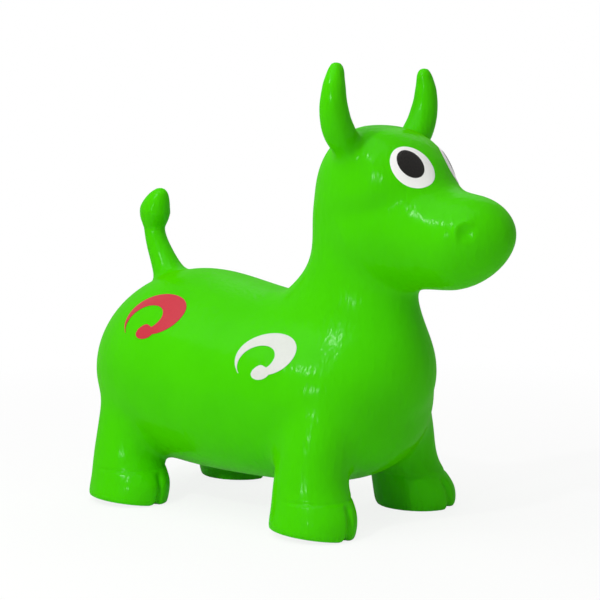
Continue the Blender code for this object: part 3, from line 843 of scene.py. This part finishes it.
def scroll_print(name, place, look, side, size):
    """A scroll of ink on the body."""
    scroll = added(
        bpy.ops.mesh.primitive_grid_add, name,
        x_subdivisions=SCROLL_STEPS, y_subdivisions=SCROLL_ROWS, size=2,
        location=place + SCROLL_DROP * look, rotation=turned(look, side * SCROLL_TILT).to_euler(),
    )
    points = points_of(scroll)
    along, across = (points[:, 0] + 1) / 2, points[:, 1] / 2
    turn = SCROLL_START - SCROLL_SWEEP * along
    swell = np.abs(np.sin(math.pi * np.clip(along, 0, 1) ** SCROLL_BAND_LEAN))
    band = SCROLL_BAND * swell**SCROLL_BAND_POWER
    in_ball = (along - 1 + SCROLL_BALL_REACH) / SCROLL_BALL_REACH
    ball = SCROLL_BALL * np.sqrt(np.clip(1 - in_ball**2, 0, None))
    width = np.maximum(np.maximum(band, ball), SCROLL_TIP)
    radius = size * ((1 - SCROLL_WIND * along) / 2 + width * across)
    points[:, 0] = side * radius * np.cos(turn)
    points[:, 1] = SCROLL_SQUASH * radius * np.sin(turn)
    placed(scroll, points)
    only(scroll)
    bpy.ops.object.mode_set(mode="EDIT")
    faced_outward()
    if scroll.data.polygons[0].normal.z < 0:
        scroll.data.flip_normals()
    laid_on(scroll, skin, INK_LIFT)
    return scroll


red_ink = ink("screen_ink_red", "#C22D3D", "#B72737", rough=0.36)
white_ink = ink("screen_ink_white", "#D7D9D4", "#CDCFCA", rough=0.36)
for word, side in (("right", 1), ("left", -1)):
    for name, place, look, coat, slot in (
        ("hip", HIP_PLACE, HIP_LOOK, red_ink, "red_print"),
        ("flank", FLANK_PLACE, FLANK_LOOK, white_ink, "white_print"),
    ):
        place = Vector(on_side(place, side))
        look = Vector(on_side(look, side))
        scroll = scroll_print(f"{name}_print_{word}", place, look, side, SCROLL_SIZES[name])
        scroll.data.materials.append(coat)
        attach(scroll, "torso")
        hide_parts(f"{name}_scroll_{word}")

# The air stopper.
# A small moulded plug of soft white PVC, pushed into the valve under the belly. It has a round flange with
# a slot to prise it out, a waist that grips the bore and a tapered tip. A step is a radius and a height.
STOPPER_STEPS = (
    (0.0105, 0.0000),
    (0.0105, 0.0022),
    (0.0062, 0.0022),
    (0.0058, 0.0050),
    (0.0064, 0.0066),
    (0.0060, 0.0110),
    (0.0046, 0.0132),
)
STOPPER_SIDES = 64
STOPPER_EDGE = 0.0003
STOPPER_EDGE_STEPS = 2
SLOT_SIZES = (0.0120, 0.0016, 0.0018)

stopper = added(
    bpy.ops.mesh.primitive_circle_add, "stopper", vertices=STOPPER_SIDES, radius=STOPPER_STEPS[0][0],
    fill_type="NGON", location=(VALVE_AHEAD, 0, BOSS_HEIGHT),
)
settled()
bpy.ops.object.mode_set(mode="EDIT")
bpy.ops.mesh.select_all(action="SELECT")
for (before, low), (radius, high) in zip(STOPPER_STEPS, STOPPER_STEPS[1:]):
    bpy.ops.mesh.extrude_region_move(TRANSFORM_OT_translate={"value": (0, 0, high - low)})
    bpy.ops.transform.resize(
        value=(radius / before, radius / before, 1), center_override=(VALVE_AHEAD, 0, BOSS_HEIGHT + high)
    )
faced_outward()
slot_tool = added(
    bpy.ops.mesh.primitive_cube_add, "slot_tool", size=1, scale=SLOT_SIZES,
    location=(VALVE_AHEAD, 0, BOSS_HEIGHT),
)
settled()
finished(stopper, "BOOLEAN", operation="DIFFERENCE", solver="EXACT", object=slot_tool)
bpy.data.objects.remove(slot_tool)
finished(
    stopper, "BEVEL", width=STOPPER_EDGE, segments=STOPPER_EDGE_STEPS,
    limit_method="ANGLE", angle_limit=EDGE_ANGLE,
)
bpy.ops.object.shade_smooth_by_angle(angle=EDGE_ANGLE)
# Soft white PVC from a plain mould gives the eye an off-white with a dull gloss and the ink's faint mottle.
stopper.data.materials.append(ink("soft_pvc_white", "#ECECE7", "#E2E2DC", rough=0.42))
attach(stopper, "plug")
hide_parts("air_plug")

# The studio.
# A plain pale floor that fades to white away from the toy, a white room, a wide soft box overhead, a wide
# fill behind and two small lamps on the toy's right, high and low, whose reflections draw the glints.
FLOOR_SIZE = 12.0
FLOOR_COLOUR = "#F5F5F3"
FLOOR_ROUGHNESS = 0.8
FLOOR_FADE = (0.45, 1.3)
FLOOR_SHARE = 0.85
ROOM_LIGHT = 0.30
WHITE = (1, 1, 1, 1)
LAMPS = (
    ("soft_box", 22.0, 1.8, (-0.20, -0.75, 2.00)),
    ("key", 11.0, 0.11, (-0.16, -1.60, 1.60)),
    ("low_key", 6.0, 0.09, (0.25, -1.90, 0.75)),
    ("back_fill", 8.0, 1.20, (-0.70, 1.50, 1.70)),
)
LAMP_TARGET = Vector((0, 0, 0.2))

floor = added(bpy.ops.mesh.primitive_plane_add, "floor", size=FLOOR_SIZE)
pale = bpy.data.materials.new("pale_floor")
pale.use_nodes = True
tree = pale.node_tree
shader = tree.nodes["Principled BSDF"]
shader.inputs["Base Color"].default_value = linear(FLOOR_COLOUR)
shader.inputs["Roughness"].default_value = FLOOR_ROUGHNESS
where = add_node(tree, "ShaderNodeTexCoord")
away = add_node(tree, "ShaderNodeVectorMath", (), {0: (where, "Object")}, operation="LENGTH")
fade = add_node(
    tree, "ShaderNodeMapRange",
    {"From Min": FLOOR_FADE[0], "From Max": FLOOR_FADE[1], "To Min": FLOOR_SHARE},
    {"Value": (away, "Value")},
)
ray = add_node(tree, "ShaderNodeLightPath")
seen = add_node(
    tree, "ShaderNodeMath", (), {0: (ray, "Is Camera Ray"), 1: (ray, "Is Glossy Ray")}, operation="MAXIMUM"
)
white_share = add_node(tree, "ShaderNodeMath", (), {0: (fade, 0), 1: (seen, 0)}, operation="MULTIPLY")
white_light = add_node(tree, "ShaderNodeEmission", {"Strength": 1.0})
mixed = add_node(
    tree, "ShaderNodeMixShader", (), {0: (white_share, 0), 1: (shader, 0), 2: (white_light, 0)}
)
tree.links.new(mixed.outputs[0], tree.nodes["Material Output"].inputs["Surface"])
floor.data.materials.append(pale)

world = bpy.data.worlds.new("studio")
bpy.context.scene.world = world
world.use_nodes = True
tree = world.node_tree
room = tree.nodes["Background"]
room.inputs["Color"].default_value = WHITE
room.inputs["Strength"].default_value = ROOM_LIGHT
backdrop = add_node(tree, "ShaderNodeBackground", {"Color": WHITE, "Strength": 1.0})
ray = add_node(tree, "ShaderNodeLightPath")
mirrored = add_node(
    tree, "ShaderNodeMath", (), {0: (ray, "Is Glossy Ray"), 1: (ray, "Is Transmission Ray")},
    operation="MAXIMUM",
)
seen = add_node(
    tree, "ShaderNodeMath", (), {0: (ray, "Is Camera Ray"), 1: (mirrored, 0)}, operation="MAXIMUM"
)
mixed = add_node(tree, "ShaderNodeMixShader", (), {0: (seen, 0), 1: (room, 0), 2: (backdrop, 0)})
tree.links.new(mixed.outputs[0], tree.nodes["World Output"].inputs["Surface"])

for name, power, size, place in LAMPS:
    lamp = added(bpy.ops.object.light_add, name, type="AREA", location=place)
    lamp.data.energy = power
    lamp.data.size = size
    lamp.rotation_euler = (LAMP_TARGET - lamp.location).to_track_quat("-Z", "Y").to_euler()

# The camera.
# It stands where the photograph was taken from: round from the animal's right side towards its head and a
# little above its back.
VIEW_TURN = math.radians(38.25)
VIEW_RISE = math.radians(5.61)
VIEW_DISTANCE = 1.820
VIEW_TARGET = Vector((-0.0079, 0.0, 0.2437))
VIEW_LENS = 94.20
VIEW_SENSOR = 36

level = math.cos(VIEW_RISE)
back = Vector((math.sin(VIEW_TURN) * level, -math.cos(VIEW_TURN) * level, math.sin(VIEW_RISE)))
camera = added(bpy.ops.object.camera_add, "camera", location=VIEW_TARGET + back * VIEW_DISTANCE)
camera.data.lens = VIEW_LENS
camera.data.sensor_width = VIEW_SENSOR
camera.rotation_euler = (-back).to_track_quat("-Z", "Y").to_euler()
bpy.context.scene.camera = camera
bpy.context.scene.view_settings.view_transform = "Standard"
